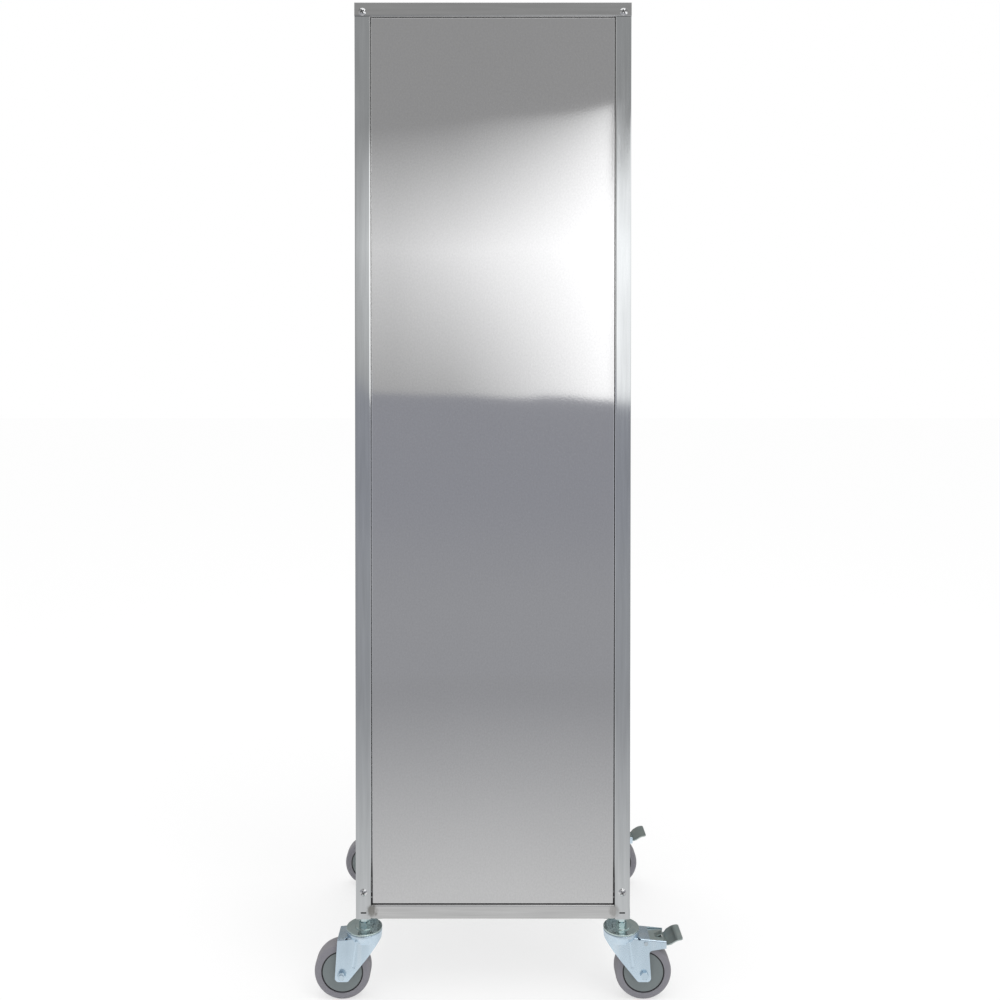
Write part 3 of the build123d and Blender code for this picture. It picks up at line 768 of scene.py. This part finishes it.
class TROLLEY_OT_weld_beads(bpy.types.Operator):
    """Rippled weld beads on the inner and lower faces of the same joints"""
    bl_idname = "trolley.weld_beads"
    bl_label = "Weld beads"

    def execute(self, context):
        details = context.scene.trolley_details
        end_margin = 0.003
        valley = 0.84
        tip = 0.5
        flattening = 0.5
        length = rail_high.z - rail_low.z - 2 * end_margin
        ripples = 2 * round(length / details.bead_ripple / 2)
        step = length / ripples
        deselect()
        bpy.ops.mesh.primitive_cylinder_add(vertices=14, radius=details.bead_radius, depth=length)
        bead = new_piece("weld_bead")
        pick(bead, "EDGE", lambda middle, way: abs(way.z) > 0.9)
        bpy.ops.mesh.subdivide(number_cuts=ripples - 1)
        pick(bead, "VERT", lambda place: round((place.z + length / 2) / step) % 2 == 1)
        bpy.ops.transform.resize(value=(valley, valley, 1.0))
        pick(bead, "VERT", lambda place: abs(place.z) > length / 2 - step / 2)
        bpy.ops.transform.resize(value=(tip, tip, 1.0))
        bpy.ops.mesh.select_all(action="SELECT")
        bpy.ops.mesh.bisect(plane_co=(0, 0, 0), plane_no=(0, 1, 0), use_fill=True, clear_outer=True)
        bpy.ops.mesh.select_all(action="SELECT")
        bpy.ops.transform.resize(value=(1.0, flattening, 1.0))
        finish_mesh(bead, 60.0)
        bead.data.transform(Matrix.Translation((inside_x, 0, 0)))
        material = weld_steel("weld bead steel")
        upright = Matrix.Translation((0, inside_y, rail_z))
        lying = Matrix.Translation((0, (inside_y + outside_y) / 2, foot_z))
        lying = lying @ Matrix.Rotation(math.pi / 2, 4, "X")
        for place, matrix in (("inner", upright), ("lower", lying)):
            for corner, sx, sy in corners():
                mirror = Matrix.Diagonal((sx, sy, 1, 1))
                piece = copied(bead, f"weld_bead_{place}_{corner}", mirror @ matrix)
                put_on(piece, material, "frame")
        bpy.data.objects.remove(bead)
        return {"FINISHED"}


class TROLLEY_OT_spot_welds(bpy.types.Operator):
    """Spot welds through the webs of the tray runners, over the posts"""
    bl_idname = "trolley.spot_welds"
    bl_label = "Spot welds"

    def execute(self, context):
        details = context.scene.trolley_details
        radius = details.spot_radius
        depth = 0.0003
        sunk = 0.0001
        rim_share = 0.22
        wall_share = 0.25
        dish_share = 0.7
        post_inset = 0.006
        rises = (0.009, 0.019)
        pitch = (runner_high.z - runner_low.z - runner_web) / (details.runner_levels - 1)
        deselect()
        bpy.ops.mesh.primitive_cylinder_add(vertices=14, radius=radius, depth=depth,
                                            rotation=(math.pi / 2, 0, 0))
        spot = new_piece("spot_weld")
        bpy.ops.object.transform_apply(location=True, rotation=True, scale=True)
        pick(spot, "FACE", lambda middle, normal: normal.y < -0.9)
        bpy.ops.mesh.inset(thickness=radius * rim_share)
        bpy.ops.mesh.inset(thickness=radius * wall_share)
        bpy.ops.transform.translate(value=(0, depth * dish_share, 0))
        finish_mesh(spot, 70.0)
        material = weld_steel("spot weld steel")
        for side, sy in sides.items():
            copies = []
            for level in range(details.runner_levels):
                for sx in ends.values():
                    for rise in rises:
                        place = Vector((sx * (inside_x + post_inset),
                                        web_y - depth / 2 + sunk,
                                        runner_low.z + level * pitch + rise))
                        matrix = Matrix.Diagonal((1, sy, 1, 1)) @ Matrix.Translation(place)
                        copies.append(copied(spot, "spot_weld_copy", matrix))
            put_on(joined(copies, f"spot_welds_{side}"), material, "frame")
        bpy.data.objects.remove(spot)
        return {"FINISHED"}


class TROLLEY_OT_axle_threads(bpy.types.Operator):
    """Thread on the tips of the axle bolts"""
    bl_idname = "trolley.axle_threads"
    bl_label = "Axle threads"

    def execute(self, context):
        details = context.scene.trolley_details
        settings = context.scene.trolley_finishes
        material = zinc("thread zinc", shaded(settings.zinc_colour, 0.9), 0.26)
        shank = 0.004
        turns = 1.2
        turn_steps = 48
        tip = 0.0018
        for corner, sx, _ in corners():
            low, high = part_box(f"axle_bolt_and_nut_{corner}")
            # The bolts of the right castors point to the rear, those of the left ones to the front.
            end_y = high.y if sx > 0 else low.y
            start = Vector((sx * axle_x, end_y - sx * tip, axle_z))
            deselect()
            bpy.ops.mesh.primitive_circle_add(vertices=3, radius=details.thread_height,
                                              location=(shank, 0, 0), rotation=(math.pi / 2, 0, 0))
            ridge = new_piece(f"axle_thread_{corner}")
            bpy.ops.object.transform_apply(location=True, rotation=True, scale=True)
            coil = ridge.modifiers.new("coil", "SCREW")
            coil.axis = "Z"
            coil.angle = turns * math.tau
            coil.screw_offset = turns * details.thread_pitch
            coil.steps = turn_steps
            coil.render_steps = turn_steps
            bpy.ops.object.modifier_apply(modifier=coil.name)
            # Each open end of the coil gets a face.
            pick(ridge, "EDGE", lambda middle, way: False)
            bpy.ops.mesh.select_non_manifold()
            bpy.ops.mesh.edge_face_add()
            finish_mesh(ridge, 50.0)
            turn = Matrix.Rotation(-sx * math.pi / 2, 4, "X")
            ridge.data.transform(Matrix.Translation(start) @ turn)
            put_on(ridge, material, f"castor_{corner}")
        return {"FINISHED"}


# Stage

def window_band(finish):
    """Light of the window in the front wall, and the share of the wall above the window's sill.

    The window is brighter to the right and fades upwards. Its ends, which the posts show, differ from
    the middle, which the panel shows.
    """
    left_edge = finish.step(finish.x, -0.49, -0.42)
    right_edge = finish.step(finish.x, 0.440, 0.456)
    dip = finish.step(finish.x, -0.32, -0.18) - finish.step(finish.x, 0.0, 0.14)
    crest = finish.step(finish.x, 0.14, 0.22) - finish.step(finish.x, 0.28, 0.40)
    low = finish.line(finish.x, -0.40, 0.45, 1.0635, 1.040)
    low = low + (1.0 - left_edge) * 0.07 - right_edge * 0.007 - dip * 0.003 + crest * 0.0072
    peak = 1.58
    top = finish.line(finish.x, -0.8, 0.8, 1.960, 2.131)
    top = top - right_edge * finish.line(finish.x, 0.456, 0.510, 0.285, 0.095)
    bright = finish.line(finish.x, -0.34, 0.42, 0.56, 1.45)
    bright = bright * (0.25 + left_edge * 0.75) * (1.0 - right_edge * 0.26)
    fall = ((top - finish.z) / (top - peak)).most(0.0).least(1.0)
    fall = fall ** finish.line(finish.x, -0.12, 0.42, 0.92, 0.26)
    sill = finish.line(finish.x, -0.14, 0.42, 0.28, 0.80)
    rise = ((finish.z - low) / (peak - low)).most(0.0).least(1.0)
    rise = sill + (1.0 - sill) * rise
    above = finish.step(finish.z - low, -0.010, 0.010)
    return bright * fall.least(rise) * above, above


def studio_glow():
    """Glow of the studio around the trolley, which only its bright metal shows.

    Grey walls carry a window band in front and at the sides, the back is darker up to the ceiling,
    and the floor pales towards the trolley.
    """
    finish = Finish("studio glow")
    window, above = window_band(finish)
    wall = finish.mix(finish.step(finish.z, 0.25, 0.75), (0.458, 0.464, 0.488), (0.408, 0.416, 0.455))
    wall = finish.mix(above, wall, grey(0.44))
    front = finish.add("ShaderNodeVectorMath", {"operation": "ADD"}, {0: wall, 1: window})
    back = finish.mix(finish.step(finish.z, 1.15, 1.95), (0.262, 0.262, 0.256), grey(0.85))
    behind = finish.step(finish.y, 0.1, 1.1)
    walls = finish.mix(behind, front, back)
    ceiling = finish.step(finish.z + behind * 0.45, 2.6, 3.0)
    walls = finish.mix(ceiling, walls, grey(0.27))
    reach = (finish.x * finish.x + finish.y * finish.y) ** 0.5 - (outside_y - 0.002)
    near = finish.line(reach, 0.38, 1.83, 1.0, 0.0) ** 1.5
    floor = finish.mix(near, (0.45, 0.455, 0.475), grey(0.83))
    floor = finish.mix(finish.step(reach, 0.14, 0.26), grey(1.0), floor)
    floor = finish.mix(finish.step(finish.x, 0.35, 0.8) * 0.4, floor, (0.5, 0.5, 0.52))
    glow = finish.mix(finish.step(finish.z, 0.02, 0.06), floor, walls)
    material = finish.output(finish.add("ShaderNodeEmission", {}, {"Color": glow}))
    material.cycles.emission_sampling = "NONE"
    return material


def floor_paint():
    """Pale floor that looks white to the camera and keeps the trolley's shadow."""
    finish = Finish("studio floor")
    paint = finish.add("ShaderNodeBsdfPrincipled", {},
                       {"Base Color": grey(0.97), "Roughness": 0.9, "Specular IOR Level": 0.0})
    glow = finish.add("ShaderNodeEmission", {}, {"Color": grey(1.0)})
    camera, glossy, transmission = (
        finish.add("ShaderNodeLightPath", {}, {}, f"Is {ray} Ray")
        for ray in ("Camera", "Glossy", "Transmission"))
    share = (camera + glossy + transmission).least(1.0) * 0.6
    return finish.output(finish.add("ShaderNodeMixShader", {}, {0: share, 1: paint, 2: glow}))


def add_floor():
    """Wide pale floor."""
    deselect()
    bpy.ops.mesh.primitive_plane_add(size=60)
    floor = new_piece("studio_floor")
    floor.data.materials.append(floor_paint())


def add_surround():
    """Floor ring, wall and ceiling that only reflections show."""
    inner_radius = 0.30
    outer_radius = 2.07
    rise = 0.004
    wall_height = 3.6
    ceiling_hole = 0.02
    spread = outer_radius / inner_radius
    deselect()
    bpy.ops.mesh.primitive_circle_add(vertices=96, radius=inner_radius, location=(0, 0, rise))
    surround = new_piece("studio_surround")
    bpy.ops.object.transform_apply(location=True, rotation=True, scale=True)
    bpy.ops.object.mode_set(mode="EDIT")
    bpy.ops.mesh.select_all(action="SELECT")
    bpy.ops.mesh.extrude_edges_move()
    bpy.ops.transform.resize(value=(spread, spread, 1.0))
    bpy.ops.mesh.extrude_edges_move()
    bpy.ops.transform.translate(value=(0, 0, wall_height))
    bpy.ops.mesh.extrude_edges_move()
    bpy.ops.transform.resize(value=(ceiling_hole, ceiling_hole, 1.0))
    bpy.ops.object.mode_set(mode="OBJECT")
    surround.data.materials.append(studio_glow())
    surround.visible_camera = False
    surround.visible_diffuse = False
    surround.visible_shadow = False


def add_world(scene):
    """Even white light from all around."""
    world = bpy.data.worlds.new("studio")
    world.use_nodes = True
    world.cycles.sampling_method = "NONE"
    scene.world = world
    backdrop = world.node_tree.nodes["Background"]
    backdrop.inputs["Color"].default_value = (1.0, 1.0, 1.0, 1.0)
    backdrop.inputs["Strength"].default_value = 1.0


def add_lamp(name, place, size, power):
    """Round soft lamp that points at the middle of the trolley."""
    middle = Vector((0, 0, 0.9))
    deselect()
    bpy.ops.object.light_add(type="AREA", location=place)
    lamp = bpy.context.object
    lamp.name = name
    lamp.data.shape = "DISK"
    lamp.data.size = size
    lamp.data.energy = power
    lamp.rotation_euler = (middle - Vector(place)).to_track_quat("-Z", "Y").to_euler()


def add_camera(scene, settings):
    """Camera in front of the closed side, level but for a slight tilt, with a shifted lens."""
    bpy.ops.object.camera_add(location=settings.camera_place)
    camera = bpy.context.object
    camera.rotation_euler = (math.pi / 2 - settings.camera_tilt, 0, 0)
    camera.data.sensor_width = 36.0
    camera.data.lens = settings.camera_lens
    camera.data.shift_x, camera.data.shift_y = settings.camera_shift
    scene.camera = camera


class TROLLEY_OT_stage(bpy.types.Operator):
    """Floor, studio surround, lamps, world and camera"""
    bl_idname = "trolley.stage"
    bl_label = "Stage"

    def execute(self, context):
        scene = context.scene
        settings = scene.trolley_stage
        add_floor()
        add_surround()
        add_world(scene)
        add_lamp("key lamp", (1.15, -1.45, 2.9), 1.2, settings.key_power)
        add_lamp("top lamp", (0.0, -0.2, 3.3), 2.2, settings.top_power)
        add_camera(scene, settings)
        scene.view_settings.view_transform = "Standard"
        return {"FINISHED"}


# Sidebar and registration

class TROLLEY_PT_sidebar(bpy.types.Panel):
    """Trolley finishes, details and stage"""
    bl_idname = "TROLLEY_PT_sidebar"
    bl_label = "Tray trolley"
    bl_space_type = "VIEW_3D"
    bl_region_type = "UI"
    bl_category = "Trolley"

    def draw(self, context):
        scene = context.scene
        for settings in (scene.trolley_finishes, scene.trolley_details, scene.trolley_stage):
            box = self.layout.box()
            for name in settings.__annotations__:
                box.prop(settings, name)
        for operator in operators:
            self.layout.operator(operator.bl_idname)


operators = (
    TROLLEY_OT_finish_frame,
    TROLLEY_OT_finish_panels,
    TROLLEY_OT_finish_runners,
    TROLLEY_OT_finish_fastenings,
    TROLLEY_OT_finish_castors,
    TROLLEY_OT_finish_wheels,
    TROLLEY_OT_finish_brakes,
    TROLLEY_OT_weld_fills,
    TROLLEY_OT_weld_beads,
    TROLLEY_OT_spot_welds,
    TROLLEY_OT_axle_threads,
    TROLLEY_OT_stage,
)
classes = (FinishSettings, DetailSettings, StageSettings, *operators, TROLLEY_PT_sidebar)


def register():
    for kind in classes:
        bpy.utils.register_class(kind)
    bpy.types.Scene.trolley_finishes = PointerProperty(type=FinishSettings)
    bpy.types.Scene.trolley_details = PointerProperty(type=DetailSettings)
    bpy.types.Scene.trolley_stage = PointerProperty(type=StageSettings)


def unregister():
    del bpy.types.Scene.trolley_stage
    del bpy.types.Scene.trolley_details
    del bpy.types.Scene.trolley_finishes
    for kind in reversed(classes):
        bpy.utils.unregister_class(kind)


def main():
    """Run every operator once."""
    register()
    bpy.ops.trolley.finish_frame()
    bpy.ops.trolley.finish_panels()
    bpy.ops.trolley.finish_runners()
    bpy.ops.trolley.finish_fastenings()
    bpy.ops.trolley.finish_castors()
    bpy.ops.trolley.finish_wheels()
    bpy.ops.trolley.finish_brakes()
    bpy.ops.trolley.weld_fills()
    bpy.ops.trolley.weld_beads()
    bpy.ops.trolley.spot_welds()
    bpy.ops.trolley.axle_threads()
    bpy.ops.trolley.stage()


if __name__ == "__main__":
    main()
